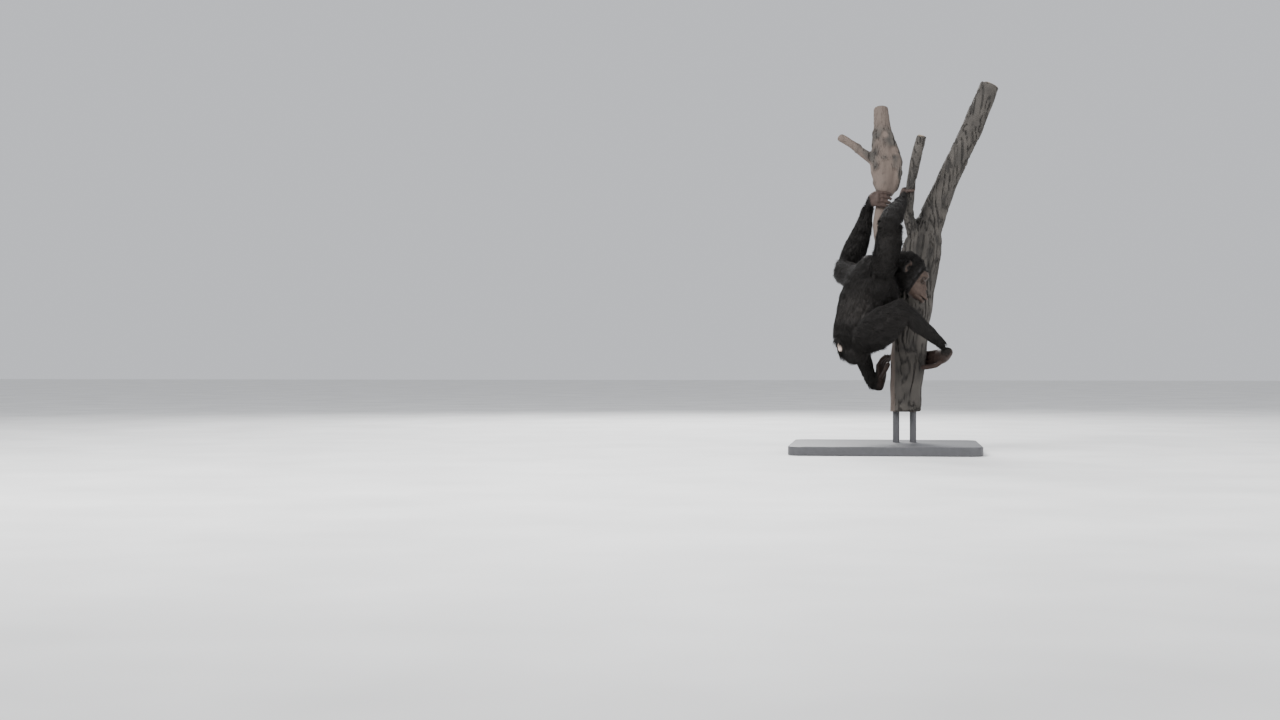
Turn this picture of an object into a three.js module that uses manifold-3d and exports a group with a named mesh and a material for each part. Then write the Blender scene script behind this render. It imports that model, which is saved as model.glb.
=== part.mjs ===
// Life-size chimpanzee clinging to a forked dead trunk, on a plain display stand.
// Millimetres, +Z up. The origin is the centre of the base's underside.
// The animal faces +X and a little +Y, so its right side is towards -Y.

import * as THREE from 'three';
import { mergeVertices } from 'three/addons/utils/BufferGeometryUtils.js';
import Module from 'manifold-3d';

const wasm = await Module();
wasm.setup();

// Driving dimensions
const GAP = 0.35;
const BASE_SIZE = [840, 760, 40];
const BASE_CORNER = 60;
const BASE_EDGE = 4;
const ROD_RADIUS = 15;
const ROD_SPREAD = 38;
const TRUNK_FOOT = [88, 100, 180];
const TRUNK_FOOT_RADIUS = 70;
const SAW_ALLOWANCE = 20;
const EYE_RADIUS = 12;
const EYE_SPACING = 27;
const CRANIUM = [108, -98, 812];
const GAZE = [0.8, -0.1, -0.59];
const ANIMAL_RIGHT = [0.5, -0.87, 0];
const ROUND_BODY = 16;
const ROUND_LIMB = 12;
const ROUND_DIGIT = 7;

const COLOURS = {
  coat: { color: 0x17181a, roughness: 0.9, metalness: 0 },
  skin: { color: 0x3a2c27, roughness: 0.7, metalness: 0 },
  eye: { color: 0x2a1a10, roughness: 0.1, metalness: 0 },
  wood: { color: 0x6b6055, roughness: 0.9, metalness: 0 },
  twine: { color: 0x2b2a28, roughness: 0.9, metalness: 0 },
  stand: { color: 0x3b3d40, roughness: 0.6, metalness: 0 },
};

function vec(p) {
  return new THREE.Vector3(p[0], p[1], p[2]);
}

// Solids from lists of points and faces
function solidFrom(points, faces) {
  const positions = new Float32Array(points.length * 3);
  points.forEach((p, i) => positions.set([p.x, p.y, p.z], i * 3));
  let volume = 0;
  for (const [a, b, c] of faces) {
    volume += points[a].dot(new THREE.Vector3().crossVectors(points[b], points[c]));
  }
  const turned = volume < 0 ? faces.map(([a, b, c]) => [a, c, b]) : faces;
  const triVerts = new Uint32Array(turned.flat());
  return new wasm.Manifold(new wasm.Mesh({ numProp: 3, vertProperties: positions, triVerts }));
}

// Rings of equal count joined side to side, closed by a point at each end
function solidFromRings(start, rings, end) {
  const around = rings[0].length;
  const points = [start, ...rings.flat(), end];
  const last = points.length - 1;
  const faces = [];
  for (let j = 0; j < around; j += 1) {
    const next = (j + 1) % around;
    faces.push([0, 1 + next, 1 + j]);
    for (let i = 0; i < rings.length - 1; i += 1) {
      const low = 1 + i * around;
      const high = low + around;
      faces.push([low + j, low + next, high + next]);
      faces.push([low + j, high + next, high + j]);
    }
    const top = 1 + (rings.length - 1) * around;
    faces.push([top + j, top + next, last]);
  }
  return solidFrom(points, faces);
}

// A form is a smooth run of elliptical sections. Each station is x, y, z, half-width
// and half-depth; the half-width lies along the form's side direction.
function form(side, stations, options = {}) {
  const path = new THREE.CatmullRomCurve3(stations.map(vec), false, 'catmullrom', 0.5);
  const sizes = stations.map((s) => new THREE.Vector3(s[3], s[4] ?? s[3], 0));
  const sizePath = new THREE.CatmullRomCurve3(sizes, false, 'catmullrom', 0.5);
  const defaults = { around: ROUND_LIMB, steps: (stations.length - 1) * 2, dome: 0.75 };
  return { path, sizePath, ...defaults, ...options, side: vec(side) };
}

function frameAt(shape, t) {
  const centre = shape.path.getPoint(t);
  const along = shape.path.getTangent(t).normalize();
  const side = shape.side.clone().addScaledVector(along, -shape.side.dot(along)).normalize();
  const front = new THREE.Vector3().crossVectors(along, side);
  const size = shape.sizePath.getPoint(t);
  return { centre, along, side, front, width: size.x, depth: size.y };
}

function ringAt(station, around, scale, shift, grow) {
  const ring = [];
  for (let j = 0; j < around; j += 1) {
    const angle = (j / around) * Math.PI * 2;
    const width = (station.width + grow) * scale * Math.cos(angle);
    const depth = (station.depth + grow) * scale * Math.sin(angle);
    const point = station.centre.clone().addScaledVector(station.along, shift);
    point.addScaledVector(station.side, width).addScaledVector(station.front, depth);
    ring.push(point);
  }
  return ring;
}

function domeRings(station, shape, sign, grow) {
  const height = Math.min(station.width, station.depth) * shape.dome + grow;
  if (shape.dome === 0) {
    return { rings: [ringAt(station, shape.around, 1, sign * grow, grow)], height };
  }
  const angles = shape.around > ROUND_DIGIT ? [0, 0.5, 1.05] : [0, 0.8];
  const rings = angles.map((a) => {
    return ringAt(station, shape.around, Math.cos(a), sign * height * Math.sin(a), grow);
  });
  return { rings, height };
}

function loft(shape, grow = 0) {
  const first = frameAt(shape, 0);
  const final = frameAt(shape, 1);
  const startDome = domeRings(first, shape, -1, grow);
  const endDome = domeRings(final, shape, 1, grow);
  const rings = [...startDome.rings].reverse();
  for (let i = 1; i < shape.steps; i += 1) {
    rings.push(ringAt(frameAt(shape, i / shape.steps), shape.around, 1, 0, grow));
  }
  rings.push(...endDome.rings);
  const start = first.centre.clone().addScaledVector(first.along, -startDome.height);
  const end = final.centre.clone().addScaledVector(final.along, endDome.height);
  return solidFromRings(start, rings, end);
}

// A turned profile about a line, as a form of round sections with few points
function tube(points, radius, options = {}) {
  const stations = points.map((p) => [p[0], p[1], p[2], radius]);
  return form(options.side ?? [0.3, 0.2, 1], stations, { around: ROUND_DIGIT, ...options });
}

// Head placed by its own axes: forward along the gaze, up, and the animal's right
const headForward = vec(GAZE).normalize();
const headRight = new THREE.Vector3().crossVectors(headForward, vec([0, 0, 1])).normalize();
const headUp = new THREE.Vector3().crossVectors(headRight, headForward);

function onHead(forward, up, right) {
  const point = vec(CRANIUM).addScaledVector(headForward, forward);
  point.addScaledVector(headUp, up).addScaledVector(headRight, right);
  return point.toArray();
}

function headStation(forward, up, right, width, depth) {
  return [...onHead(forward, up, right), width, depth];
}

const HEAD_SIDE = headRight.toArray();

const headForms = [
  form(HEAD_SIDE, [
    headStation(-66, -6, 0, 50, 52),
    headStation(-32, 4, 0, 72, 74),
    headStation(10, 6, 0, 74, 73),
    headStation(44, 0, 0, 60, 58),
  ], { around: ROUND_BODY, steps: 5 }),
  form(HEAD_SIDE, [
    headStation(20, -28, 0, 62, 56),
    headStation(56, -46, 0, 54, 48),
    headStation(92, -58, 0, 47, 35),
    headStation(112, -62, 0, 39, 27),
  ], { around: ROUND_BODY, steps: 5 }),
  form(headUp.toArray(), [
    headStation(50, 17, -52, 9, 11),
    headStation(74, 24, -27, 10, 14),
    headStation(75, 22, 0, 9, 13),
    headStation(74, 24, 27, 10, 14),
    headStation(50, 17, 52, 9, 11),
  ], { around: 10, steps: 8 }),
  form(HEAD_SIDE, [
    headStation(72, 10, 0, 9, 9),
    headStation(90, -14, 0, 13, 9),
    headStation(106, -28, 0, 19, 10),
  ], { around: 10, steps: 4 }),
    ...[-1, 1].map((sign) => form(headUp.toArray(), [
    headStation(44, -18, sign * 50, 13, 12),
    headStation(62, -14, sign * 36, 11, 9),
  ], { around: 10, steps: 2 })),
];

// Lips are two low rolls either side of the mouth line
function lipRoll(up, forward, spread) {
  return form(headUp.toArray(), [
    headStation(forward - 30, up + 6, -spread, 7, 7),
    headStation(forward - 4, up, -spread * 0.55, 8, 8),
    headStation(forward + 4, up - 2, 0, 9, 8),
    headStation(forward - 4, up, spread * 0.55, 8, 8),
    headStation(forward - 30, up + 6, spread, 7, 7),
  ], { around: ROUND_DIGIT, steps: 8 });
}

const LIPS = [lipRoll(-59, 131, 40), lipRoll(-78, 125, 37)];

const mouthLine = form(headUp.toArray(), [
  headStation(92, -62, -50, 2.2, 7),
  headStation(130, -67, -24, 2.4, 8),
  headStation(142, -68, 0, 2.4, 9),
  headStation(130, -67, 24, 2.4, 8),
  headStation(92, -62, 50, 2.2, 7),
], { around: 6, steps: 8 });

function eyeAt(sign) {
  return onHead(73, 4, sign * EYE_SPACING);
}

// Each lid is a bent roll over or under the eye
function lid(sign, lift) {
  const inner = [66, 4 + lift * 0.2, sign * (EYE_SPACING - 16)];
  const middle = [80, 4 + lift, sign * EYE_SPACING];
  const outer = [66, 4 + lift * 0.2, sign * (EYE_SPACING + 16)];
  const stations = [inner, middle, outer].map((p) => onHead(...p));
  return tube(stations, 4.5, { side: headUp.toArray(), steps: 5, around: 6 });
}

const LIDS = [lid(1, 9.5), lid(1, -10), lid(-1, 9.5), lid(-1, -10)];

function nostril(sign) {
  const points = [onHead(122, -36, sign * 8.5), onHead(104, -30, sign * 8)];
  return tube(points, 4, { side: headUp.toArray(), steps: 2, around: 6 });
}

// Ears are broad cups that stand out from the sides of the head
function earForm(sign) {
  const root = onHead(-8, 4, sign * 58);
  const tip = onHead(-14, 10, sign * 92);
  const stations = [[...root, 20, 14], [...tip, 34, 27]];
  return form(headUp.toArray(), stations, { around: 12, steps: 3, dome: 0.3 });
}

function earHollow(sign) {
  const root = onHead(-2, 8, sign * 84);
  const tip = onHead(8, 12, sign * 108);
  const stations = [[...root, 17, 12], [...tip, 27, 21]];
  return form(headUp.toArray(), stations, { around: 12, steps: 2, dome: 0.5 });
}

// Body forms
const torsoForms = [
  form(ANIMAL_RIGHT, [
    [-136, -52, 466, 86, 76],
    [-124, -46, 524, 126, 106],
    [-103, -40, 604, 132, 114],
    [-78, -38, 690, 140, 118],
    [-44, -38, 762, 146, 112],
    [-14, -42, 818, 120, 92],
    [12, -46, 852, 70, 62],
  ], { around: ROUND_BODY, steps: 12 }),
];

const neckForms = [
  form(ANIMAL_RIGHT, [
    [-12, -50, 822, 64, 60],
    [30, -66, 838, 62, 58],
    [60, -78, 828, 58, 54],
  ], { around: ROUND_LIMB, steps: 4 }),
];

const upperArmRight = form([1, 0.2, 0], [
  [-14, -120, 796, 62, 60],
  [2, -200, 858, 61, 58],
  [16, -268, 938, 60, 54],
  [18, -326, 1006, 48, 44],
], { steps: 7 });

const forearmRight = form([1, 0, 0.3], [
  [20, -332, 1010, 45, 43],
  [34, -262, 1046, 50, 46],
  [56, -160, 1088, 38, 36],
  [70, -76, 1124, 27, 24],
], { steps: 7 });

const upperArmLeft = form([0.5, 0, 1], [
  [-92, 40, 788, 62, 58],
  [-132, 130, 796, 62, 56],
  [-178, 210, 820, 58, 52],
  [-176, 252, 848, 50, 46],
], { steps: 6 });

const forearmLeft = form([1, 0.3, 0], [
  [-174, 256, 852, 48, 45],
  [-138, 258, 930, 57, 48],
  [-102, 250, 1024, 44, 40],
  [-76, 236, 1126, 26, 23],
], { steps: 7 });

const thighRight = form([0, 0.4, 1], [
  [-98, -100, 536, 90, 80],
  [-40, -150, 553, 99, 78],
  [20, -196, 591, 84, 64],
  [66, -226, 632, 56, 50],
], { steps: 7 });

const shinRight = form([0, 0.6, 1], [
  [72, -228, 630, 44, 42],
  [120, -204, 592, 45, 42],
  [190, -156, 536, 35, 33],
  [246, -112, 490, 27, 25],
], { steps: 7 });

const thighLeft = form([1, 0, 0.3], [
  [-122, 10, 552, 78, 84],
  [-132, 90, 540, 74, 78],
  [-138, 170, 518, 60, 62],
  [-130, 226, 500, 50, 50],
], { steps: 7 });

const shinLeft = form([1, 0.5, 0], [
  [-128, 230, 498, 43, 43],
  [-106, 218, 440, 43, 44],
  [-78, 184, 362, 33, 34],
  [-60, 156, 310, 27, 27],
], { steps: 7 });

// Perch forms: the cut trunk, its forks and stubs
const TRUNK_SIDE = [1, 0, 0];
const FLAT_END = { around: ROUND_LIMB, dome: 0 };

const trunk = form(TRUNK_SIDE, [
  [TRUNK_FOOT[0], TRUNK_FOOT[1], TRUNK_FOOT[2] - SAW_ALLOWANCE, TRUNK_FOOT_RADIUS, 72],
  [92, 100, 280, 71, 74],
  [101, 98, 420, 79, 78],
  [121, 100, 600, 81, 79],
  [146, 104, 780, 82, 78],
  [166, 102, 910, 86, 80],
  [183, 98, 975, 73, 68],
  [186, 98, 1040, 54, 52],
], { around: 20, steps: 13, dome: 0.5 });

const forkRight = form(TRUNK_SIDE, [
  [182, 100, 960, 60, 58],
  [228, 104, 1100, 57, 54],
  [288, 110, 1246, 47, 46],
  [384, 118, 1452, 45, 45],
  [472, 124, 1662, 42, 42],
], { ...FLAT_END, steps: 9 });

const stubMiddle = form(TRUNK_SIDE, [
  [140, 74, 960, 34, 32],
  [108, 30, 1060, 24, 23],
  [108, -4, 1150, 19, 19],
  [133, -38, 1300, 19, 19],
  [162, -68, 1412, 20, 20],
], { ...FLAT_END, steps: 8, around: 12 });

const forkLeftForms = [
  form(TRUNK_SIDE, [
    [124, 106, 730, 50, 50],
    [60, 130, 830, 43, 43],
    [0, 168, 920, 34, 34],
    [-28, 196, 1020, 31, 31],
    [-14, 215, 1134, 30, 30],
    [-8, 224, 1200, 40, 40],
    [-12, 236, 1300, 62, 50],
    [-14, 254, 1400, 52, 46],
    [-16, 272, 1490, 42, 40],
    [-18, 290, 1582, 40, 38],
  ], { around: ROUND_LIMB, steps: 20, dome: 0.5 }),
  form(TRUNK_SIDE, [
    [20, 232, 1180, 24, 24],
    [50, 238, 1250, 24, 24],
    [52, 244, 1330, 26, 24],
    [26, 252, 1425, 22, 20],
    [4, 258, 1490, 16, 16],
  ], { around: 10, steps: 6, dome: 0.5 }),
];

const stubSide = form([0, 1, 0], [
  [-30, 244, 1326, 34, 34],
  [-90, 248, 1364, 25, 25],
  [-150, 254, 1414, 22, 22],
  [-206, 260, 1452, 22, 22],
], { around: 12, steps: 6, dome: 0.6 });

// Grips: palms and digits bend round a branch, held by its centre, line and radius
function gripFrame(centre, line, start) {
  const along = vec(line).normalize();
  const out = vec(start).addScaledVector(along, -vec(start).dot(along)).normalize();
  const turn = new THREE.Vector3().crossVectors(along, out);
  return { centre: vec(centre), along, out, turn };
}

function onGrip(grip, angle, radius, offset) {
  const point = grip.centre.clone().addScaledVector(grip.along, offset);
  point.addScaledVector(grip.out, radius * Math.cos(angle));
  point.addScaledVector(grip.turn, radius * Math.sin(angle));
  return point.toArray();
}

function digit(grip, first, last, reach, offset, slant, radius) {
  const stations = [];
  const count = 4;
  for (let i = 0; i <= count; i += 1) {
    const k = i / count;
    const angle = first + (last - first) * k;
    const place = onGrip(grip, angle, reach - k * radius * 0.15, offset + slant * k);
    stations.push([...place, radius * (1 - 0.22 * k), radius * (1 - 0.22 * k)]);
  }
  return form(grip.along.toArray(), stations, { around: ROUND_DIGIT, steps: 4, dome: 0.9 });
}

const DIGIT_RADIUS = 9.5;
const HAND_SPACING = 20;
const TOE_SPACING = 20;

// A hand: the palm rises from the wrist onto the branch, four fingers go on round it
function handForms(grip, wrist, branchRadius, way) {
  const reach = branchRadius + 13;
  const palm = form(grip.along.toArray(), [
    [...wrist, 25, 22],
    [...onGrip(grip, way * 0.1, reach + 12, -8), 33, 18],
    [...onGrip(grip, way * 0.75, reach + 2, 0), 38, 14],
    [...onGrip(grip, way * 1.25, reach, 2), 38, 12],
  ], { around: 12, steps: 6 });
  const fingers = [-1.5, -0.5, 0.5, 1.5].map((place, index) => {
    const last = way * (3.1 + (index % 3 === 0 ? -0.2 : 0));
    const offset = place * HAND_SPACING;
    return digit(grip, way * 1.2, last, branchRadius + DIGIT_RADIUS, offset, 0, DIGIT_RADIUS);
  });
  const thumb = digit(grip, way * 0.3, -way * 1.15, branchRadius + 9, 24, 8, 9.5);
  return [palm, ...fingers, thumb];
}

const gripRight = gripFrame([109, -4, 1148], [0.14, -0.2, 1], [-0.5, -0.85, 0]);
const gripLeft = gripFrame([-13, 216, 1150], [0.1, 0.1, 1], [-1, 0.1, 0]);
const handRight = handForms(gripRight, [78, -62, 1130], 19, -1);
const handLeft = handForms(gripLeft, [-72, 232, 1140], 31, 1);

// A foot: heel, sole and four toes laid on the trunk, with the great toe set apart
function footForms(heel, middle, ball, spread, toeTip, hallux) {
  const across = vec(spread).normalize();
  const sole = form(spread, [
    [...heel, 25, 28],
    [...middle, 31, 24],
    [...ball, 37, 16],
  ], { around: 12, steps: 5 });
  const toes = [-1.5, -0.5, 0.5, 1.5].map((place) => {
    const from = vec(ball).addScaledVector(across, place * TOE_SPACING);
    const to = vec(toeTip).addScaledVector(across, place * TOE_SPACING);
    const bend = from.clone().lerp(to, 0.5).add(vec(ball).sub(vec(middle)).multiplyScalar(0.22));
    return tube([from.toArray(), bend.toArray(), to.toArray()], 9, { side: spread, steps: 4 });
  });
  const great = tube(hallux, 12, { side: spread, steps: 4 });
  return [sole, ...toes, great];
}

const footRight = footForms(
  [272, -98, 450], [262, -36, 432], [234, 24, 424], [0.1, 0, 1], [183, 132, 418],
  [[256, -44, 416], [226, -34, 390], [168, -2, 380]],
);
const footLeft = footForms(
  [-32, 140, 290], [-20, 158, 338], [-18, 172, 384], [0.6, 0.8, 0], [22, 178, 432],
  [[-20, 130, 336], [-4, 96, 358], [14, 82, 396]],
);

// Nodes in cutting order: each is cut clear of the earlier ones it lies against
const PARTS = [
  { name: 'perch_trunk', forms: [trunk], look: 'wood', sawn: true },
  { name: 'perch_fork_right', forms: [forkRight], look: 'wood' },
  {
    name: 'perch_fork_left',
    forms: forkLeftForms,
    look: 'wood',
  },
  {
    name: 'perch_stub_middle',
    forms: [stubMiddle],
    look: 'wood',
  },
  { name: 'perch_stub_side', forms: [stubSide], look: 'wood' },
  { name: 'eye_right', forms: [], ball: eyeAt(1), look: 'eye' },
  { name: 'eye_left', forms: [], ball: eyeAt(-1), look: 'eye' },
  {
    name: 'head',
    forms: [...headForms, ...LIPS, ...LIDS],
    cuts: [mouthLine, nostril(1), nostril(-1)],
    look: 'coat',
  },
  { name: 'ear_right', forms: [earForm(1)], cuts: [earHollow(1)], look: 'skin' },
  { name: 'ear_left', forms: [earForm(-1)], cuts: [earHollow(-1)], look: 'skin' },
  { name: 'neck', forms: neckForms, look: 'coat' },
  { name: 'torso', forms: torsoForms, look: 'coat' },
  {
    name: 'upper_arm_right',
    forms: [upperArmRight],
    look: 'coat',
  },
  { name: 'upper_arm_left', forms: [upperArmLeft], look: 'coat' },
  { name: 'forearm_right', forms: [forearmRight], look: 'coat' },
  { name: 'forearm_left', forms: [forearmLeft], look: 'coat' },
  {
    name: 'hand_right',
    forms: handRight,
    look: 'skin',
  },
  {
    name: 'hand_left',
    forms: handLeft,
    look: 'skin',
  },
  { name: 'thigh_right', forms: [thighRight], look: 'coat' },
  { name: 'thigh_left', forms: [thighLeft], look: 'coat' },
  { name: 'shin_right', forms: [shinRight], look: 'coat' },
  { name: 'shin_left', forms: [shinLeft], look: 'coat' },
  { name: 'foot_right', forms: footRight, look: 'skin' },
  { name: 'foot_left', forms: footLeft, look: 'skin' },
];

function ball(centre, radius) {
  const geometry = new THREE.SphereGeometry(radius, 12, 8);
  geometry.translate(centre[0], centre[1], centre[2]);
  return solidFromGeometry(geometry);
}

function solidFromGeometry(geometry) {
  geometry.deleteAttribute('normal');
  geometry.deleteAttribute('uv');
  const merged = mergeVertices(geometry, 1e-4);
  const position = merged.getAttribute('position');
  const points = [];
  for (let i = 0; i < position.count; i += 1) {
    points.push(new THREE.Vector3().fromBufferAttribute(position, i));
  }
  const faces = [];
  for (let i = 0; i < merged.index.count; i += 3) {
    const corner = (k) => merged.index.getX(i + k);
    faces.push([corner(0), corner(1), corner(2)]);
  }
  return solidFrom(points, faces);
}

// Everything under the trunk's level sawn foot
function sawCut() {
  const size = 4 * TRUNK_FOOT_RADIUS;
  const geometry = new THREE.BoxGeometry(size, size, size);
  geometry.translate(TRUNK_FOOT[0], TRUNK_FOOT[1], TRUNK_FOOT[2] - size / 2);
  return solidFromGeometry(geometry);
}

function joined(solids) {
  return solids.reduce((whole, next) => whole.add(next));
}

// The solid of a node before it is cut, grown all round when it is to cut another
function wholeNode(part, grow) {
  if (part.ball) {
    return ball(part.ball, EYE_RADIUS + grow);
  }
  return joined(part.forms.map((shape) => loft(shape, grow)));
}

function largest(solid) {
  const pieces = solid.decompose();
  return pieces.reduce((a, b) => (a.volume() > b.volume() ? a : b));
}

function meets(a, b) {
  const one = a.boundingBox();
  const two = b.boundingBox();
  return [0, 1, 2].every((k) => one.min[k] < two.max[k] && two.min[k] < one.max[k]);
}

// Cuts a node clear of every earlier one, all grown by the gap
function cutNode(part, earlier) {
  let solid = wholeNode(part, 0);
  for (const shape of part.cuts ?? []) {
    solid = solid.subtract(loft(shape));
  }
  if (part.sawn) {
    solid = solid.subtract(sawCut());
  }
  for (const other of earlier) {
    if (meets(solid, other)) {
      solid = solid.subtract(other);
    }
  }
  return largest(solid);
}

// Meshes for the group
function meshOf(name, look, solid) {
  const data = solid.getMesh();
  const geometry = new THREE.BufferGeometry();
  const positions = new Float32Array(data.numVert * 3);
  for (let i = 0; i < data.numVert; i += 1) {
    for (let k = 0; k < 3; k += 1) {
      positions[i * 3 + k] = data.vertProperties[i * data.numProp + k];
    }
  }
  geometry.setAttribute('position', new THREE.BufferAttribute(positions, 3));
  geometry.setIndex(new THREE.BufferAttribute(new Uint32Array(data.triVerts), 1));
  const clean = mergeVertices(geometry, 1e-4);
  clean.computeVertexNormals();
  const material = new THREE.MeshStandardMaterial(COLOURS[look]);
  const mesh = new THREE.Mesh(clean, material);
  mesh.name = name;
  return mesh;
}

// The stand: a flat base with rounded corners and two short rods
function basePlate() {
  const [width, depth, height] = BASE_SIZE;
  const outline = new THREE.Shape();
  const x = width / 2 - BASE_EDGE;
  const y = depth / 2 - BASE_EDGE;
  const r = BASE_CORNER;
  outline.moveTo(-x + r, -y);
  outline.lineTo(x - r, -y);
  outline.absarc(x - r, -y + r, r, -Math.PI / 2, 0);
  outline.lineTo(x, y - r);
  outline.absarc(x - r, y - r, r, 0, Math.PI / 2);
  outline.lineTo(-x + r, y);
  outline.absarc(-x + r, y - r, r, Math.PI / 2, Math.PI);
  outline.lineTo(-x, -y + r);
  outline.absarc(-x + r, -y + r, r, Math.PI, Math.PI * 1.5);
  const geometry = new THREE.ExtrudeGeometry(outline, {
    depth: height - 2 * BASE_EDGE,
    curveSegments: 6,
    bevelEnabled: true,
    bevelSize: BASE_EDGE,
    bevelThickness: BASE_EDGE,
    bevelSegments: 2,
  });
  geometry.translate(0, 0, BASE_EDGE);
  return solidFromGeometry(geometry);
}

function rod(sign) {
  const bottom = BASE_SIZE[2] + GAP;
  const top = TRUNK_FOOT[2] - GAP;
  const geometry = new THREE.CylinderGeometry(ROD_RADIUS, ROD_RADIUS, top - bottom, 20);
  geometry.rotateX(Math.PI / 2);
  geometry.translate(TRUNK_FOOT[0] + sign * ROD_SPREAD, TRUNK_FOOT[1], (top + bottom) / 2);
  return solidFromGeometry(geometry);
}

function build() {
  const group = new THREE.Group();
  group.name = 'chimpanzee_on_forked_trunk';
  const earlier = [];
  for (const part of PARTS) {
    group.add(meshOf(part.name, part.look, cutNode(part, earlier)));
    earlier.push(wholeNode(part, GAP));
  }
  group.add(meshOf('stand_base', 'stand', basePlate()));
  group.add(meshOf('stand_rod_1', 'stand', rod(-1)));
  group.add(meshOf('stand_rod_2', 'stand', rod(1)));
  return group;
}

export default build();
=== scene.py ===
# Life-size chimpanzee clinging to a forked dead trunk: skin, coat, perch and stand.
import math

import bpy
import numpy as np
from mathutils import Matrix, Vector


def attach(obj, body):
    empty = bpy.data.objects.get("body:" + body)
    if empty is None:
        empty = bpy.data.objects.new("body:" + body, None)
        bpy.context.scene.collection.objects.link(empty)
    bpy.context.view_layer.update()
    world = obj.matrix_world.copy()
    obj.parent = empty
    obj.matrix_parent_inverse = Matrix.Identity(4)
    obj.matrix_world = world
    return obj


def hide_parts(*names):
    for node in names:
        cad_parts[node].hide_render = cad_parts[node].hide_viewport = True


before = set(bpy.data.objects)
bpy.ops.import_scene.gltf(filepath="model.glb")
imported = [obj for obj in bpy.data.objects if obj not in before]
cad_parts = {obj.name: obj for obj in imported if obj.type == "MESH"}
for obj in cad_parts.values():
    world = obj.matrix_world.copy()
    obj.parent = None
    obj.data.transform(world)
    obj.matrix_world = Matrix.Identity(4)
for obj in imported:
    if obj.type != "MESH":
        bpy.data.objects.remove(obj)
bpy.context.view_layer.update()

RNG = np.random.default_rng(7)

# Meshes: voxel sizes (m), and how often and how much they are smoothed
SKIN_VOXEL = 0.0030
PERCH_VOXEL = 0.0045
SKIN_ROUNDS = 26
SKIN_SOFTNESS = 0.5
FINE_FIRMNESS = 0.42
LIE_ROUNDS = 12
PERCH_ROUNDS = 6
LATTICE_SIZE = 32

# Coat: how far the skin lies below its surface, and how the tufts are shared out (m)
COAT_DEPTH = 0.009
REGION_BLEND = 0.012
TUFT_COUNT = 138000
TUFTS_A_PIECE = 19500
PLAIN_LENGTH = 0.018
LENGTH_RANGE = (0.010, 0.06)
TUFT_ROOT_DEPTH = 0.003
TUFT_RISE = 0.25
RISE_RANGE = (0.10, 0.6)
CLUMPING = 0.40
STRAYING = 0.12
TUFT_LEAST_WIDTH = 0.0007
TUFT_WIDTH_SHARE = 0.019
TUFT_BEND = 0.45
DOWNWARD = np.array([0, 0, -0.35])
TIP_DROOP = np.array([0, 0, -0.22])
UV_TILES = 4
UV_PATCH = 0.003
UV_MARGIN = 0.02

# The head: its centre and gaze in the model's frame, then places up and right of it (m)
CRANIUM = np.array([0.108, -0.098, 0.812])
GAZE = np.array([0.8, -0.1, -0.59])
HAIRLINE = 0.040
HAIRLINE_FLARE = 0.25
HAIRLINE_SOFT = 0.014
EYE_RADIUS = 0.012
EYE_SPACING = 0.027
EYE_UP = 0.002
EYEBALL_PLACE = (73, 4)  # forward and up, mm
EYEBALL_FIT = 0.985
EYEBALL_SWELL = 0.035
LID_EDGE = 0.0128
BAG_EDGE = 0.021
MOUTH_UP = -0.067
MOUTH_BEND = 2.2
LIP_OFF = 0.007
NOSTRIL = (-0.037, 0.0085, 0.0042)
NOSE_WING = (-0.034, 0.017, 0.006)

# How far the features of the face rise or sink (m)
LIP_RISE = 0.0022
WING_RISE = 0.0025
MOUTH_DEPTH = 0.0034
NOSTRIL_DEPTH = 0.005
LID_RISE = 0.0014
BAG_RISE = 0.0016
FOLD_RISE = 0.0005
LINE_RISE = 0.00018
PORE_RISE = 0.0006

# Fades: none at the first number, all at the second (m, or a share from 0 to 1)
FACE_FRONT = (0.045, 0.07)
BROW_EDGE = (0.050, 0.040)
JAW_EDGE = (0.050, 0.062)
EAR_SIDE = (0.074, 0.082)
EAR_DEPTH = (0.06, 0.05)
EAR_REACH = (0.12, 0.10)
EAR_SHARE = (0.5, 0.8)
HAND_BARE = (0.012, 0.055)
FOOT_BARE = (0.004, 0.030)
HAIRLESS = (0.55, 0.92)
THICKER = (0.05, 0.35)
SHORTER = (0.1, 0.7)
FACE_COLOUR = (0.72, 0.95)

# The pale bare patch on the rump (m)
RUMP_PATCH = np.array([-0.216, -0.085, 0.480])
RUMP_RADIUS = 0.034

# Hands and feet, in mm: nails sit on the last joint of each digit
DIGIT = 9.5
DIGIT_SPACING = 20
DIGIT_PLACES = (-1.5, -0.5, 0.5, 1.5)
NAIL_BACK = 3.0
NAIL_HEIGHT = 13.6
TOENAIL_HEIGHT = 7.5
NAIL_SIZE = 0.0055
TOENAIL_SIZE = 0.0066
NAIL_SHAPE = np.array([0.62, 0.30, 1.0])

# Wood, in m: where the bark ends, and the cut ends
SAWN_FOOT = (0.186, 0.182)
FORK_WAY = np.array([0.38, 0.03, 0.92])
BARK_BASE = 0.001
BARK_RELIEF = 0.0070
BARK_SINK = 0.004
WOOD_GROOVE = 0.0014
LUMP = 0.004

# Colours, linear
DARK_SKIN = np.array([0.012, 0.011, 0.011])
FACE_SKIN = np.array([0.050, 0.034, 0.027])
SOLE_SKIN = np.array([0.046, 0.031, 0.026])
PALE_SKIN = np.array([0.55, 0.44, 0.38])
EYE_BALL = np.array([0.026, 0.016, 0.012])
IRIS = np.array([0.034, 0.015, 0.007])
PUPIL = np.array([0.002, 0.002, 0.002])
COAT_WARMTH = np.array([1.12, 1.0, 0.93])
BARK = np.array([0.033, 0.029, 0.025])
BARE_WOOD = np.array([0.105, 0.080, 0.066])
SAWN_WOOD = np.array([0.30, 0.235, 0.17])

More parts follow.
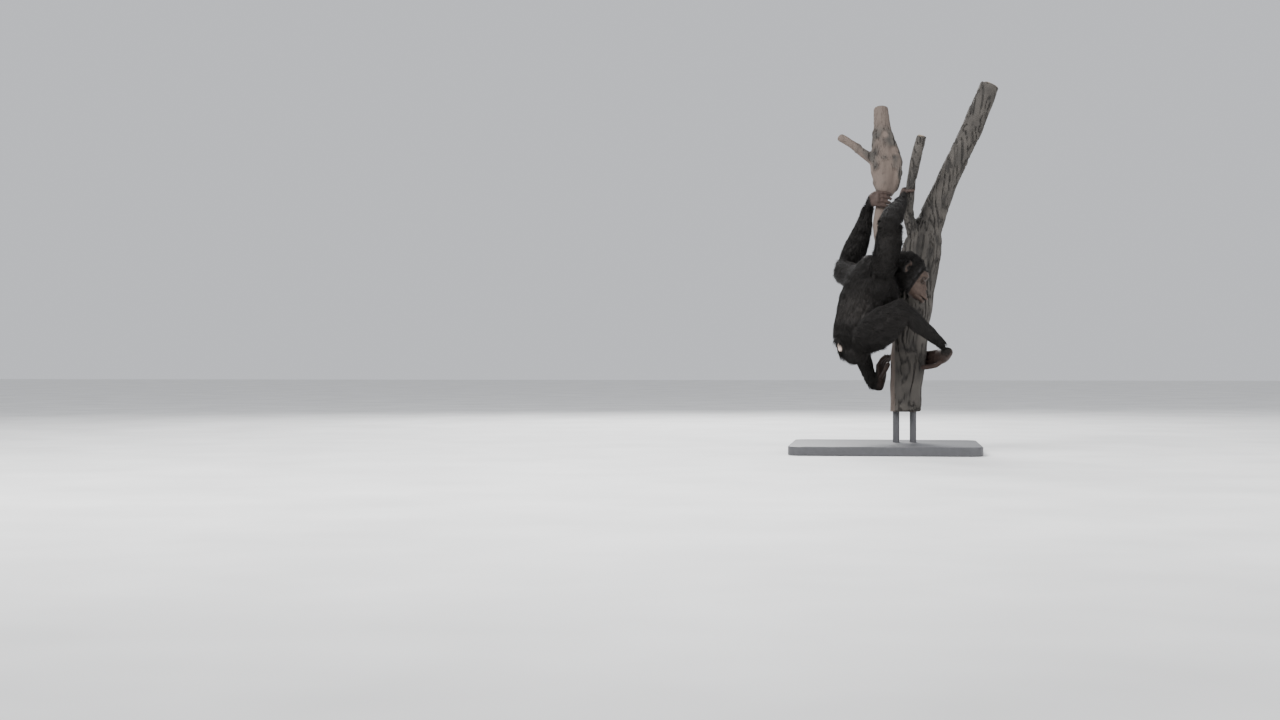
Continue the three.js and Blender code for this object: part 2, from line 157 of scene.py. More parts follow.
# Camera and lights: the picture is IMAGE_WIDTH pixels wide, each PIXEL metres at the animal
CAMERA_DISTANCE = 8.5
CAMERA_HEIGHT = 0.414
PIXEL = 0.0045
OFF_CENTRE = 245
IMAGE_WIDTH = 1280
SENSOR_WIDTH = 36
SKY_COLOUR = (0.93, 0.95, 1.0, 1)
SKY_STRENGTH = 0.75
LIGHTS = [("key", (-3.5, -4.0, 4.5), 3.0, 620),
          ("fill", (4.0, -3.5, 2.5), 3.0, 220),
          ("rim", (-1.5, 4.5, 3.8), 2.5, 420)]
LIGHT_AIM = np.array([0, 0, 0.8])

FLESH = ["head", "ear_right", "ear_left", "neck", "torso",
         "upper_arm_right", "upper_arm_left", "forearm_right", "forearm_left",
         "hand_right", "hand_left", "thigh_right", "thigh_left",
         "shin_right", "shin_left", "foot_right", "foot_left"]
PERCH = ["perch_trunk", "perch_fork_right", "perch_fork_left",
         "perch_stub_middle", "perch_stub_side"]
STAND = ["stand_base", "stand_rod_1", "stand_rod_2"]

# Each region: points and radius along its axis (mm), coat length (mm), way of the lie
REGIONS = {
    "torso": ([(10, -46, 850, 60), (-16, -42, 816, 105), (-78, -38, 690, 128),
               (-124, -46, 524, 115), (-136, -52, 448, 82)], 52, 1),
    "neck": ([(96, -92, 826, 60), (50, -76, 832, 58), (0, -50, 830, 62)], 46, 1),
    "head": ([(150, -103, 770, 60), (108, -98, 812, 74), (60, -92, 846, 66)], 27, 1),
    "upper_arm_right": ([(-14, -120, 796, 60), (2, -200, 858, 60),
                         (18, -326, 1006, 46)], 50, 1),
    "forearm_right": ([(68, -84, 1122, 27), (34, -262, 1046, 47),
                       (20, -332, 1010, 44)], 50, 1),
    "upper_arm_left": ([(-92, 40, 788, 60), (-178, 210, 820, 55),
                        (-176, 252, 848, 48)], 50, 1),
    "forearm_left": ([(-78, 236, 1120, 26), (-102, 250, 1024, 42),
                      (-138, 258, 930, 52), (-174, 256, 852, 46)], 52, 1),
    "hand_right": ([(78, -62, 1130, 26), (96, -38, 1146, 40), (128, -4, 1150, 36)], 12, 1),
    "hand_left": ([(-74, 232, 1136, 26), (-60, 220, 1146, 36), (-10, 200, 1150, 55)], 12, 1),
    "thigh_right": ([(-98, -100, 534, 86), (20, -196, 591, 73), (66, -226, 632, 52)], 48, 1),
    "shin_right": ([(72, -228, 630, 43), (190, -156, 536, 34), (246, -112, 490, 26)], 36, 1),
    "thigh_left": ([(-122, 10, 552, 78), (-136, 170, 518, 60), (-130, 226, 500, 50)], 48, 1),
    "shin_left": ([(-128, 230, 498, 43), (-78, 184, 362, 34), (-58, 156, 310, 27)], 38, 1),
    "foot_right": ([(270, -98, 452, 25), (262, -30, 432, 28), (205, 90, 420, 30)], 10, 1),
    "foot_left": ([(-32, 140, 290, 26), (-20, 158, 340, 28), (4, 174, 424, 30)], 10, 1),
}
NAMES = list(REGIONS)
BARE = ["hand_right", "hand_left", "foot_right", "foot_left"]
GROUPS = {"coat_torso_front": ["torso"], "coat_head": ["head", "neck"],
          "coat_arm_right": ["upper_arm_right", "forearm_right", "hand_right"],
          "coat_arm_left": ["upper_arm_left", "forearm_left", "hand_left"],
          "coat_leg_right": ["thigh_right", "shin_right", "foot_right"],
          "coat_leg_left": ["thigh_left", "shin_left", "foot_left"]}


# Vectors and fades
def unit(v):
    return v / np.maximum(np.linalg.norm(v, axis=-1, keepdims=True), 1e-9)


def smooth(low, high, value):
    t = np.clip((value - low) / (high - low), 0, 1)
    return t * t * (3 - 2 * t)


def bump(offset, width):
    return np.exp(-(offset / width) ** 2)


def spot(up, side, place):
    place_up, place_side, size = place
    return np.exp(-((up - place_up) ** 2 + (side - place_side) ** 2) / size ** 2)


def mixed(base, other, share):
    return base * (1 - share) + other * share


HEAD_F = unit(GAZE)
HEAD_R = unit(np.cross(HEAD_F, [0, 0, 1]))
HEAD_U = np.cross(HEAD_R, HEAD_F)


def head_coords(points):
    off = points - CRANIUM
    return off @ HEAD_F, off @ HEAD_U, off @ HEAD_R


def on_head(forward, up, right):
    return CRANIUM + (HEAD_F * forward + HEAD_U * up + HEAD_R * right) / 1000


# Value noise on a lattice of seeded random numbers
LATTICE = RNG.random((LATTICE_SIZE, LATTICE_SIZE, LATTICE_SIZE)) * 2 - 1


def noise(points):
    base = np.floor(points).astype(int)
    part = points - base
    part = part * part * (3 - 2 * part)
    total = np.zeros(len(points))
    for dx in (0, 1):
        for dy in (0, 1):
            for dz in (0, 1):
                weight = (np.where(dx, part[:, 0], 1 - part[:, 0])
                          * np.where(dy, part[:, 1], 1 - part[:, 1])
                          * np.where(dz, part[:, 2], 1 - part[:, 2]))
                x, y, z = ((base + np.array([dx, dy, dz])) % LATTICE_SIZE).T
                total += weight * LATTICE[x, y, z]
    return total


# Meshes from arrays
def make_mesh(name, verts, faces):
    mesh = bpy.data.meshes.new(name)
    mesh.from_pydata(verts.tolist(), [], faces.tolist())
    mesh.update()
    return mesh


def add_object(name, mesh):
    obj = bpy.data.objects.new(name, mesh)
    bpy.context.scene.collection.objects.link(obj)
    mesh.polygons.foreach_set("use_smooth", [True] * len(mesh.polygons))
    return obj


def triangles(mesh):
    mesh.calc_loop_triangles()
    tri = np.empty(len(mesh.loop_triangles) * 3, dtype=np.int64)
    mesh.loop_triangles.foreach_get("vertices", tri)
    return tri.reshape(-1, 3)


def coords(mesh):
    co = np.empty(len(mesh.vertices) * 3)
    mesh.vertices.foreach_get("co", co)
    return co.reshape(-1, 3)


def set_coords(mesh, co):
    mesh.vertices.foreach_set("co", co.ravel())
    mesh.update()


def normals(mesh):
    no = np.empty(len(mesh.vertices) * 3)
    mesh.vertex_normals.foreach_get("vector", no)
    return no.reshape(-1, 3)


def edge_array(mesh):
    edges = np.empty(len(mesh.edges) * 2, dtype=np.int64)
    mesh.edges.foreach_get("vertices", edges)
    return edges.reshape(-1, 2)


def node_arrays(names):
    verts, faces, start = [], [], 0
    for name in names:
        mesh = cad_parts[name].data
        verts.append(coords(mesh))
        faces.append(triangles(mesh) + start)
        start += len(mesh.vertices)
    return np.concatenate(verts), np.concatenate(faces)


def remeshed(name, names, voxel):
    verts, faces = node_arrays(names)
    obj = add_object(name, make_mesh(name, verts, faces))
    modifier = obj.modifiers.new("voxels", "REMESH")
    modifier.mode = "VOXEL"
    modifier.voxel_size = voxel
    modifier.adaptivity = 0
    graph = bpy.context.evaluated_depsgraph_get()
    mesh = bpy.data.meshes.new_from_object(obj.evaluated_get(graph))
    obj.modifiers.clear()
    old = obj.data
    obj.data = mesh
    bpy.data.meshes.remove(old)
    return obj


def relax(values, edges, weight, rounds):
    count = len(values)
    degree = np.bincount(edges.ravel(), minlength=count)
    degree = np.maximum(degree, 1)
    flat = values.reshape(count, -1)
    for _ in range(rounds):
        total = np.empty_like(flat)
        for k in range(flat.shape[1]):
            total[:, k] = (np.bincount(edges[:, 0], flat[edges[:, 1], k], count)
                           + np.bincount(edges[:, 1], flat[edges[:, 0], k], count))
        flat = flat + (total / degree[:, None] - flat) * weight.reshape(-1, 1)
    return flat.reshape(values.shape)


def paint(mesh, colours):
    layer = mesh.color_attributes.new("Tint", "FLOAT_COLOR", "POINT")
    rgba = np.ones((len(mesh.vertices), 4), dtype=np.float32)
    rgba[:, :3] = colours
    layer.data.foreach_set("color", rgba.ravel())


# Where points lie among the regions: distance, lie, place along each axis
def region_field(points):
    count = len(points)
    distance = np.full((len(NAMES), count), np.inf)
    lie = np.zeros((len(NAMES), count, 3))
    along = np.zeros((len(NAMES), count))
    for r, name in enumerate(NAMES):
        axis = np.array(REGIONS[name][0], dtype=float) / 1000
        steps = len(axis) - 1
        for i in range(steps):
            a, b = axis[i, :3], axis[i + 1, :3]
            run = b - a
            t = np.clip((points - a) @ run / (run @ run), 0, 1)
            radius = axis[i, 3] + (axis[i + 1, 3] - axis[i, 3]) * t
            gap = np.linalg.norm(points - (a + t[:, None] * run), axis=1) - radius
            nearer = gap < distance[r]
            distance[r][nearer] = gap[nearer]
            lie[r][nearer] = unit(run) * REGIONS[name][2]
            along[r][nearer] = ((i + t) / steps)[nearer]
    weight = np.exp(-np.clip(distance - distance.min(0), 0, 1) / REGION_BLEND)
    weight /= weight.sum(0)
    flow = (weight[:, :, None] * lie).sum(0)
    length = (weight * np.array([REGIONS[n][1] for n in NAMES])[:, None]).sum(0) / 1000
    return flow, length, weight, distance.argmin(0), along


def share_of(weight, name):
    return weight[NAMES.index(name)]


def bareness(points, weight):
    forward, up, right = head_coords(points)
    skull = share_of(weight, "head")
    edge = HAIRLINE + HAIRLINE_FLARE * np.abs(right)
    brow = smooth(*BROW_EDGE, up + 0.10 * np.abs(right))
    face = smooth(edge, edge + HAIRLINE_SOFT, forward) * brow
    jaw = smooth(*JAW_EDGE, forward)
    bare = (skull + share_of(weight, "neck")) * np.maximum(face, jaw * brow)
    ears = smooth(*EAR_SIDE, np.abs(right)) * smooth(*EAR_DEPTH, np.abs(forward))
    bare = np.maximum(bare, ears * smooth(*EAR_SHARE, skull)
                      * smooth(*EAR_REACH, np.linalg.norm(points - CRANIUM, axis=1)))
    for name in BARE:
        wrist = np.array(REGIONS[name][0][0][:3]) / 1000
        reach = np.linalg.norm(points - wrist, axis=1)
        near, far = HAND_BARE if "hand" in name else FOOT_BARE
        bare = np.maximum(bare, share_of(weight, name) * smooth(near, far, reach))
    rump = np.linalg.norm(points - RUMP_PATCH, axis=1)
    return np.clip(np.maximum(bare, smooth(RUMP_RADIUS + 0.012, RUMP_RADIUS, rump)), 0, 1)


# Features of the face at each point: the distance to an eye (m), and the share of the rest
def face_features(points):
    forward, up, right = head_coords(points)
    side = np.abs(right)
    eye = np.minimum(np.hypot(up - EYE_UP, right - EYE_SPACING),
                     np.hypot(up - EYE_UP, right + EYE_SPACING))
    mouth_up = MOUTH_UP + MOUTH_BEND * right ** 2
    lines = np.sin(right * 900 + noise(points * 50) * 2.5) * smooth(-0.062, -0.05, up)
    mouth = bump(up - mouth_up, 0.0034) * smooth(0.088, 0.100, forward)
    lips = bump(np.abs(up - mouth_up) - LIP_OFF, 0.0045) * smooth(0.095, 0.115, forward)
    return {
        "front": smooth(*FACE_FRONT, forward),
        "eye": eye,
        "folds": np.sin(eye * 1400) * smooth(0.034, 0.016, eye) * smooth(0.012, 0.016, eye),
        "lines": lines * smooth(-0.02, -0.045, up),
        "mouth": mouth * smooth(0.048, 0.026, side),
        "lips": lips * smooth(0.046, 0.034, side),
        "nostrils": spot(up, side, NOSTRIL) * smooth(0.09, 0.10, forward),
        "wings": spot(up, side, NOSE_WING) * smooth(0.085, 0.095, forward),
        "lid": bump(eye - LID_EDGE, 0.0022),
        "bag": bump(eye - BAG_EDGE, 0.004) * smooth(0.0, -0.012, up),
    }


def face_relief(feature):
    shape = feature["lips"] * LIP_RISE + feature["wings"] * WING_RISE
    shape = shape - feature["mouth"] * MOUTH_DEPTH - feature["nostrils"] * NOSTRIL_DEPTH
    shape = shape + (feature["lid"] * LID_RISE + feature["bag"] * BAG_RISE)
    return shape + feature["folds"] * FOLD_RISE + feature["lines"] * LINE_RISE


def skin_tint(points, bare, weight, face, feature):
    tint = np.tile(DARK_SKIN, (len(points), 1))
    tint = mixed(tint, FACE_SKIN, (share_of(weight, "head") * smooth(*FACE_COLOUR, bare))[:, None])
    limbs = sum(share_of(weight, name) for name in BARE)[:, None] * bare[:, None]
    tint = mixed(tint, SOLE_SKIN, limbs)
    rump = np.linalg.norm(points - RUMP_PATCH, axis=1)
    tint = mixed(tint, PALE_SKIN, smooth(RUMP_RADIUS + 0.006, RUMP_RADIUS - 0.006, rump)[:, None])
    eyelid = (smooth(0.024, 0.014, feature["eye"]) * face)[:, None]
    # Painted shade: the mouth line and the nostrils are darkened
    shaded_openings = np.maximum(feature["mouth"], feature["nostrils"])
    tint = tint * (1 - 0.5 * eyelid) * (1 - 0.75 * face * shaded_openings)[:, None]
    tint = tint * (1 + 0.35 * face * feature["lips"])[:, None]
    return np.clip(tint * (1 + 0.25 * noise(points * 140))[:, None], 0, 1)


# Skin: one surface over the flesh, smoothed, sunk by the coat's depth, then given its face
skin = remeshed("skin", FLESH, SKIN_VOXEL)
mesh = skin.data
points = coords(mesh)
edges = edge_array(mesh)
flow, length, weight, label, along = region_field(points)
fine = np.zeros(len(points))
for name in BARE + ["head"]:
    fine = np.maximum(fine, share_of(weight, name))
points = relax(points, edges, SKIN_SOFTNESS - FINE_FIRMNESS * fine, SKIN_ROUNDS)
set_coords(mesh, points)
normal = normals(mesh)
bare = bareness(points, weight)
points = points - normal * (COAT_DEPTH * (1 - bare))[:, None]
forward, up, right = head_coords(points)
feature = face_features(points)
face = share_of(weight, "head") * feature["front"]
pores = noise(points * 420) * 0.35 + noise(points * 900) * 0.2
points = points + normal * (face * face_relief(feature))[:, None]
points = points + normal * (bare * pores * PORE_RISE)[:, None]
set_coords(mesh, points)
normal = normals(mesh)
paint(mesh, skin_tint(points, bare, weight, face, feature))


# Materials
def grain_node(nodes, links, place, scale):
    grain = nodes.new("ShaderNodeTexNoise")
    grain.inputs["Scale"].default_value = scale
    links.new(place.outputs["Object"], grain.inputs["Vector"])
    return grain


def add_spots(nodes, links, place, colour, scale):
    grain = grain_node(nodes, links, place, scale)
    ramp = nodes.new("ShaderNodeValToRGB")
    ramp.color_ramp.elements[0].color = (*[c * 0.8 for c in colour], 1)
    ramp.color_ramp.elements[1].color = (*[min(c * 1.15, 1) for c in colour], 1)
    links.new(grain.outputs["Fac"], ramp.inputs["Fac"])
    return ramp


def add_bump(nodes, links, place, scale, strength):
    grain = grain_node(nodes, links, place, scale)
    grain.inputs["Detail"].default_value = 6
    lift = nodes.new("ShaderNodeBump")
    lift.inputs["Strength"].default_value = strength
    lift.inputs["Distance"].default_value = 0.002
    links.new(grain.outputs["Fac"], lift.inputs["Height"])
    return lift


def material(name, colour, roughness, tinted=False, relief=None, spots=None, specular=None):
    made = bpy.data.materials.new(name)
    made.use_nodes = True
    nodes, links = made.node_tree.nodes, made.node_tree.links
    shader = nodes["Principled BSDF"]
    shader.inputs["Base Color"].default_value = (*colour, 1)
    shader.inputs["Roughness"].default_value = roughness
    if specular is not None:
        shader.inputs["Specular IOR Level"].default_value = specular
    place = nodes.new("ShaderNodeTexCoord")
    if tinted:
        source = nodes.new("ShaderNodeAttribute")
        source.attribute_name = "Tint"
        links.new(source.outputs["Color"], shader.inputs["Base Color"])
    elif spots:
        ramp = add_spots(nodes, links, place, colour, spots)
        links.new(ramp.outputs["Color"], shader.inputs["Base Color"])
    if relief:
        lift = add_bump(nodes, links, place, *relief)
        links.new(lift.outputs["Normal"], shader.inputs["Normal"])
    return made


SKIN_LOOK = material("skin_look", DARK_SKIN, 0.6, tinted=True, relief=(260, 0.5), specular=0.2)
COAT_LOOK = material("coat_look", (0.02, 0.02, 0.022), 0.68, tinted=True, specular=0.22)
EYE_LOOK = material("eye_look", (0.05, 0.02, 0.01), 0.1, tinted=True, specular=0.25)
NAIL_LOOK = material("nail_look", (0.03, 0.024, 0.02), 0.35, spots=200)
WOOD_LOOK = material("wood_look", (0.3, 0.27, 0.23), 0.85, tinted=True, relief=(150, 0.6))
STAND_LOOK = material("stand_look", (0.06, 0.06, 0.065), 0.45, relief=(400, 0.1), spots=60)
FLOOR_LOOK = material("floor_look", (0.80, 0.80, 0.79), 0.7, spots=2)


def finish(obj, look, slot, *nodes_replaced):
    obj.data.materials.clear()
    obj.data.materials.append(look)
    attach(obj, "root")
    if nodes_replaced:
        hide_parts(*nodes_replaced)


finish(skin, SKIN_LOOK, "bare_skin", *FLESH)


# Coat: tufts rooted on the skin, each a bent three-sided spike
def scatter(tri, density, count):
    a, b, c = points[tri[:, 0]], points[tri[:, 1]], points[tri[:, 2]]
    area = np.linalg.norm(np.cross(b - a, c - a), axis=1) / 2
    chance = area * density[tri].mean(1)
    picked = RNG.choice(len(tri), count, p=chance / chance.sum())
    u, v = RNG.random(count), RNG.random(count)
    over = u + v > 1
    u[over], v[over] = 1 - u[over], 1 - v[over]
    return tri[picked], np.stack([1 - u - v, u, v], axis=1)


hairy = 1 - smooth(*HAIRLESS, bare)
flow = relax(flow, edges, np.full(len(points), SKIN_SOFTNESS), LIE_ROUNDS)
density = hairy * (PLAIN_LENGTH / np.clip(length, *LENGTH_RANGE)) ** 0.5
density = density * (1 + 2.5 * smooth(*THICKER, bare))
corner, parts = scatter(triangles(mesh), density, TUFT_COUNT)


def at_roots(values):
    return (values[corner] * parts).sum(1)


def vectors_at_roots(values):
    return (values[corner] * parts[:, :, None]).sum(1)


root = vectors_at_roots(points)
out = unit(vectors_at_roots(normal))
by_ear = smooth(0.055, 0.065, np.abs(right)) * smooth(0.045, 0.03, np.abs(forward + 0.005))
by_ear = by_ear * share_of(weight, "head")
tuft_length = at_roots(length * (1 - 0.5 * by_ear)) * (0.35 + 0.65 * at_roots(1 - smooth(*SHORTER, bare)))
tuft_length = tuft_length * RNG.uniform(0.6, 1.15, TUFT_COUNT)
tuft_label = label[corner[:, 0]]
tuft_along = along[tuft_label, corner[:, 0]]
clump = np.stack([noise(root * 45 + k * 9) for k in range(3)], axis=1)
stray = RNG.normal(0, STRAYING, (TUFT_COUNT, 3))
lie = unit(vectors_at_roots(flow)) + clump * CLUMPING + stray + DOWNWARD
lie = unit(lie - out * (lie * out).sum(1, keepdims=True))
rise = TUFT_RISE + clump[:, 0] * 0.10 + RNG.normal(0, 0.06, TUFT_COUNT)
rise = np.clip(rise, *RISE_RANGE)[:, None]
side = unit(np.cross(lie, out))
wide = TUFT_LEAST_WIDTH + TUFT_WIDTH_SHARE * tuft_length * RNG.uniform(0.7, 1.2, TUFT_COUNT)
wide = wide[:, None]
sunk = root - out * TUFT_ROOT_DEPTH
middle = root + unit(lie + out * rise) * (tuft_length * TUFT_BEND)[:, None]
tip = middle + unit(lie + out * (rise * 0.15) + TIP_DROOP) * (tuft_length * (1 - TUFT_BEND))[:, None]


def ring(centre, across, lift):
    return [centre + side * across, centre + out * lift, centre - side * across]


rows = ring(sunk, wide, wide * 0.5) + ring(middle, wide * 0.75, wide * 0.5) + [tip]
tuft_verts = np.stack(rows, axis=1)
TUFT_POINTS = 7
TUFT_FACES = np.array([[0, 2, 1],
                       [0, 1, 4], [0, 4, 3], [1, 2, 5], [1, 5, 4], [2, 0, 3], [2, 3, 5],
                       [3, 4, 6], [4, 5, 6], [5, 3, 6]])
# Painted shade at each tuft's root points and painted highlight at its tip point
ROOT_SHADE_TIP_HIGHLIGHT = [0.8, 0.8, 0.8, 1.0, 1.0, 1.0, 1.35]
PATCH = np.array([[0, 0], [0.5, 0.3], [1, 0], [0, 0.6], [0.5, 0.8], [1, 0.6], [0.5, 1]]) * UV_PATCH


# The skin's own unwrap: each region is opened round its axis into a tile of its own
def unwrap(where, region, place):
    turn = np.zeros(len(where))
    for r, name in enumerate(NAMES):
        axis = np.array(REGIONS[name][0], dtype=float)[:, :3] / 1000
        run = unit(axis[-1] - axis[0])
        helper = unit(np.cross(run, [0.3, 0.2, 1.0]))
        other = np.cross(run, helper)
        chosen = region == r
        off = where[chosen] - axis.mean(0)
        turn[chosen] = np.arctan2(off @ other, off @ helper) / (2 * math.pi) + 0.5
    room = 1 - 3 * UV_MARGIN
    inner_u = UV_MARGIN + room * turn
    inner_v = UV_MARGIN + room * place
    return np.stack([(region % UV_TILES + inner_u) / UV_TILES,
                     (region // UV_TILES + inner_v) / UV_TILES], 1)


tuft_uv = unwrap(root, tuft_label, tuft_along)

# Coat colour: near black and greyer in clumps; over the back it is greyer still, as painted light on the
# side the sky lights
grey = smooth(0.3, 1.0, noise(root * 9) * 0.5 + 0.5)
# Painted light: the back, the side the sky lights, is made greyer
sky_lit_back = (tuft_label == NAMES.index("torso")) * smooth(-0.02, -0.14, root[:, 0])
shade = (0.0100 + 0.014 * grey * (0.35 + 1.0 * sky_lit_back)) * RNG.uniform(0.7, 1.4, TUFT_COUNT)
coat_rgb = shade[:, None] * COAT_WARMTH


def coat_piece(name, chosen):
    total = len(chosen)
    verts = tuft_verts[chosen].reshape(-1, 3)
    starts = (np.arange(total) * TUFT_POINTS)[:, None, None]
    piece = make_mesh(name, verts, (TUFT_FACES[None] + starts).reshape(-1, 3))
    uv = (tuft_uv[chosen][:, None, :] + PATCH[TUFT_FACES.ravel()][None]).reshape(-1, 2)
    piece.uv_layers.new(name="OFBake").data.foreach_set("uv", uv.ravel())
    # Painted shade darkens the tuft roots and painted highlight lightens the tips
    root_shade_tip_highlight = np.tile(ROOT_SHADE_TIP_HIGHLIGHT, total)[:, None]
    paint(piece, np.repeat(coat_rgb[chosen], TUFT_POINTS, axis=0) * root_shade_tip_highlight)
    finish(add_object(name, piece), COAT_LOOK, "black_coat")


for group, members in GROUPS.items():
    order = np.flatnonzero(np.isin(tuft_label, [NAMES.index(n) for n in members]))
    for number, start in enumerate(range(0, len(order), TUFTS_A_PIECE)):
        coat_piece(f"{group}_{number + 1}", order[start:start + TUFTS_A_PIECE])


# A ball whose poles are on Z
def ball(segments, rings):
    theta = np.linspace(0, math.pi, rings + 1)[1:-1]
    phi = np.arange(segments) * 2 * math.pi / segments
    verts = [[0, 0, 1]]
    verts += [[math.sin(t) * math.cos(p), math.sin(t) * math.sin(p), math.cos(t)]
              for t in theta for p in phi]
    verts.append([0, 0, -1])
    faces = []
    for j in range(segments):
        k = (j + 1) % segments
        faces.append([0, 1 + j, 1 + k])
        for i in range(rings - 2):
            low, high = 1 + i * segments, 1 + (i + 1) * segments
            faces.append([low + j, high + j, high + k])
            faces.append([low + j, high + k, low + k])
        low = 1 + (rings - 2) * segments
        faces.append([len(verts) - 1, low + k, low + j])
    return np.array(verts, dtype=float), np.array(faces)


# Eyes: a dark ball with a brown iris and a pupil, swollen in front
def eyeball(node, side_sign):
    sphere, faces = ball(48, 48)
    angle = np.degrees(np.arccos(np.clip(sphere[:, 2], -1, 1)))
    swell = 1 + EYEBALL_SWELL * smooth(34, 20, angle)
    verts = (sphere * swell[:, None] * EYE_RADIUS * EYEBALL_FIT) @ np.stack([HEAD_R, HEAD_U, HEAD_F])
    verts += on_head(*EYEBALL_PLACE, side_sign * EYE_SPACING * 1000)
    made = make_mesh(node + "_ball", verts, faces)
    rgb = mixed(EYE_BALL, IRIS, smooth(36, 31, angle)[:, None])
    paint(made, mixed(rgb, PUPIL, smooth(17, 14, angle)[:, None]))
    finish(add_object(node + "_ball", made), EYE_LOOK, "eye_gloss", node)


eyeball("eye_right", 1)
eyeball("eye_left", -1)


# Nails: a flattened ball on the back of each fingertip and toe
def nail(centre, way, out_way, size):
    plate, faces = ball(16, 12)
    across = unit(np.cross(way, out_way))
    lift = unit(np.cross(across, way))
    return (plate * (size * NAIL_SHAPE)) @ np.stack([across, lift, way]) + centre, faces


def tip_nails(name, tips):
    verts, faces, start = [], [], 0
    for centre, way, out_way, size in tips:
        plate, shape_faces = nail(np.array(centre), unit(np.array(way)),
                                  unit(np.array(out_way)), size)
        verts.append(plate)
        faces.append(shape_faces + start)
        start += len(plate)
    nails = make_mesh(name, np.concatenate(verts), np.concatenate(faces))
    finish(add_object(name, nails), NAIL_LOOK, "bare_skin")


# Nails of fingers curled round a branch of this radius; the outer two end a little sooner
def grip_tips(centre, line, start, radius, way):
    axis = unit(np.array(line, dtype=float))
    first = np.array(start, dtype=float)
    first = unit(first - axis * (first @ axis))
    turn = np.cross(axis, first)
    tips = []
    for index, place in enumerate(DIGIT_PLACES):
        last = 2.9 if index in (0, 3) else 3.1
        angle = way * (last - NAIL_BACK / (radius + DIGIT))
        outward = first * math.cos(angle) + turn * math.sin(angle)
        onward = (turn * math.cos(angle) - first * math.sin(angle)) * way
        reach = outward * (radius + NAIL_HEIGHT)
        middle_of_nail = (np.array(centre) + axis * place * DIGIT_SPACING + reach) / 1000
        tips.append((middle_of_nail, onward, outward, NAIL_SIZE))
    return tips


def toe_tips(toe, across, way, out_way):
    across = unit(np.array(across, dtype=float))
    out_way = unit(np.array(out_way, dtype=float))
    places = [np.array(toe) + across * k * DIGIT_SPACING for k in DIGIT_PLACES]
    return [((p + out_way * TOENAIL_HEIGHT) / 1000, way, out_way, TOENAIL_SIZE) for p in places]


tip_nails("nails_hand_right",
          grip_tips((109, -4, 1148), (0.14, -0.2, 1), (-0.5, -0.85, 0), 19, -1))
tip_nails("nails_hand_left",
          grip_tips((-13, 216, 1150), (0.1, 0.1, 1), (-1, 0.1, 0), 31, 1))
tip_nails("nails_foot_right",
          toe_tips((183, 132, 418), (0.1, 0, 1), (-0.5, 0.85, 0), (0.85, 0.5, 0)))
tip_nails("nails_foot_left",
          toe_tips((22, 178, 432), (0.6, 0.8, 0), (0.4, 0, 0.9), (-0.75, 0.2, 0.6)))


# Perch: weathered wood, with bark left in places and cracks along the grain
def cracks(where):
    stretch = where * np.array([70, 70, 9]) + noise(where * 8)[:, None] * 1.2
    return np.abs(noise(stretch)) * 0.6 + np.abs(noise(stretch * 2.3 + 5)) * 0.4


def worn_wood(where):
    x, y, z = where.T
    patchy = noise(where * np.array([11, 11, 4]) + 3) + 0.4 * noise(where * 26)
    left_fork = smooth(0.10, 0.06, x) * smooth(0.12, 0.17, y) * smooth(0.9, 1.0, z)
    stub_tip = smooth(-0.10, -0.15, x) * smooth(1.2, 1.3, z)
    post_top = left_fork * smooth(1.45, 1.53, z)
    strip = smooth(0.052, 0.034, x) * smooth(0.60, 0.52, z) * smooth(0.14, 0.10, y)
    worn = np.maximum.reduce([left_fork * smooth(-0.1, 0.25, patchy), stub_tip * 0.9,
                              post_top * 0.9, strip])
    return np.clip(worn, 0, 1)


def wood_level(where, way, bark, crack):
    relief = bark * (BARK_BASE + BARK_RELIEF * smooth(0.03, 0.32, crack))
    relief = relief - (1 - bark) * WOOD_GROOVE * smooth(0.2, 0.0, crack)
    held = (1 - smooth(*SAWN_FOOT, where[:, 2])) * (1 - smooth(0.9, 0.99, -way[:, 2]))
    return (relief - BARK_SINK + noise(where * 14) * LUMP) * held


def wood_tint(where, bark, crack):
    # Painted shade: the bark is darker down in its grooves, where the crack value is low
    bark_rgb = BARK * (0.5 + 0.8 * smooth(0.05, 0.35, crack))[:, None]
    bark_rgb *= (1 + 0.35 * noise(where * 30))[:, None]
    # Painted shade: the bare wood is darker in its cracks
    bare_rgb = BARE_WOOD * (0.72 + 0.28 * smooth(0.0, 0.18, crack))[:, None]
    bare_rgb *= (1 + 0.18 * noise(where * np.array([40, 40, 6])))[:, None]
    return mixed(bare_rgb, bark_rgb, bark[:, None])


def sawn_ends(where, way):
    x, y, z = where.T
    fork = smooth(0.75, 0.92, way @ unit(FORK_WAY)) * smooth(1.60, 1.62, z)
    stub = smooth(0.8, 0.93, way[:, 2]) * smooth(0.02, -0.02, y) * smooth(1.38, 1.395, z)
    foot = smooth(*SAWN_FOOT, z) * smooth(0.8, 0.95, -way[:, 2])
    rings = 0.85 + 0.15 * np.sin(np.hypot(x - 0.088, y - 0.1) * 900)[:, None]
    return np.maximum(np.maximum(fork, stub), foot)[:, None], SAWN_WOOD * rings


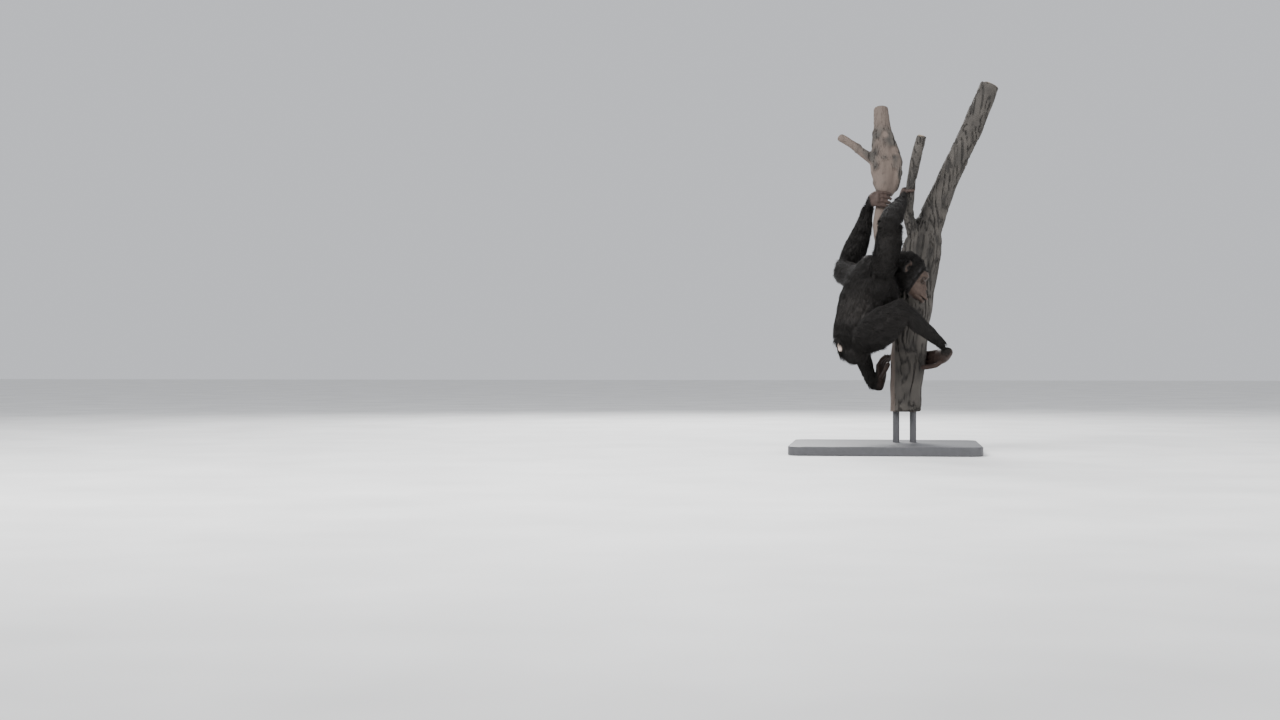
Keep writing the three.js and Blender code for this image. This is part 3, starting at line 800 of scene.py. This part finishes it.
perch = remeshed("perch", PERCH, PERCH_VOXEL)
wood = perch.data
smoothed = coords(wood)
smoothed = relax(smoothed, edge_array(wood), np.full(len(smoothed), 0.5), PERCH_ROUNDS)
set_coords(wood, smoothed)
wood_normal = normals(wood)
crack = cracks(smoothed)
bark = 1 - worn_wood(smoothed)
wood_points = smoothed + wood_normal * wood_level(smoothed, wood_normal, bark, crack)[:, None]
set_coords(wood, wood_points)
sawn, sawn_rgb = sawn_ends(smoothed, wood_normal)
paint(wood, np.clip(mixed(wood_tint(wood_points, bark, crack), sawn_rgb, sawn), 0, 1))
finish(perch, WOOD_LOOK, "bark_wood", *PERCH)

for name in STAND:
    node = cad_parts[name]
    node.data.materials.clear()
    node.data.materials.append(STAND_LOOK)

# Floor, light and camera
bpy.ops.mesh.primitive_plane_add(size=60, location=(0, 0, -0.0005))
floor = bpy.context.object
floor.name = "floor"
floor.data.materials.append(FLOOR_LOOK)

world = bpy.context.scene.world or bpy.data.worlds.new("sky")
bpy.context.scene.world = world
world.use_nodes = True
sky = world.node_tree.nodes["Background"]
sky.inputs["Color"].default_value = SKY_COLOUR
sky.inputs["Strength"].default_value = SKY_STRENGTH


def area_light(name, place, size, power):
    light = bpy.data.lights.new(name, "AREA")
    light.size = size
    light.energy = power
    obj = bpy.data.objects.new(name, light)
    bpy.context.scene.collection.objects.link(obj)
    obj.location = place
    aim = Vector((LIGHT_AIM - np.array(place)).tolist())
    obj.rotation_euler = aim.to_track_quat("-Z", "Y").to_euler()


for light_row in LIGHTS:
    area_light(*light_row)

camera_data = bpy.data.cameras.new("camera")
camera = bpy.data.objects.new("camera", camera_data)
bpy.context.scene.collection.objects.link(camera)
yaw = math.asin(OFF_CENTRE * PIXEL / CAMERA_DISTANCE)
focal = CAMERA_DISTANCE * math.cos(yaw) / PIXEL
camera_data.sensor_fit = "HORIZONTAL"
camera_data.sensor_width = SENSOR_WIDTH
camera_data.lens = focal * SENSOR_WIDTH / IMAGE_WIDTH
camera.location = (0, -CAMERA_DISTANCE, CAMERA_HEIGHT)
camera.rotation_euler = (math.pi / 2, 0, yaw)
bpy.context.scene.camera = camera
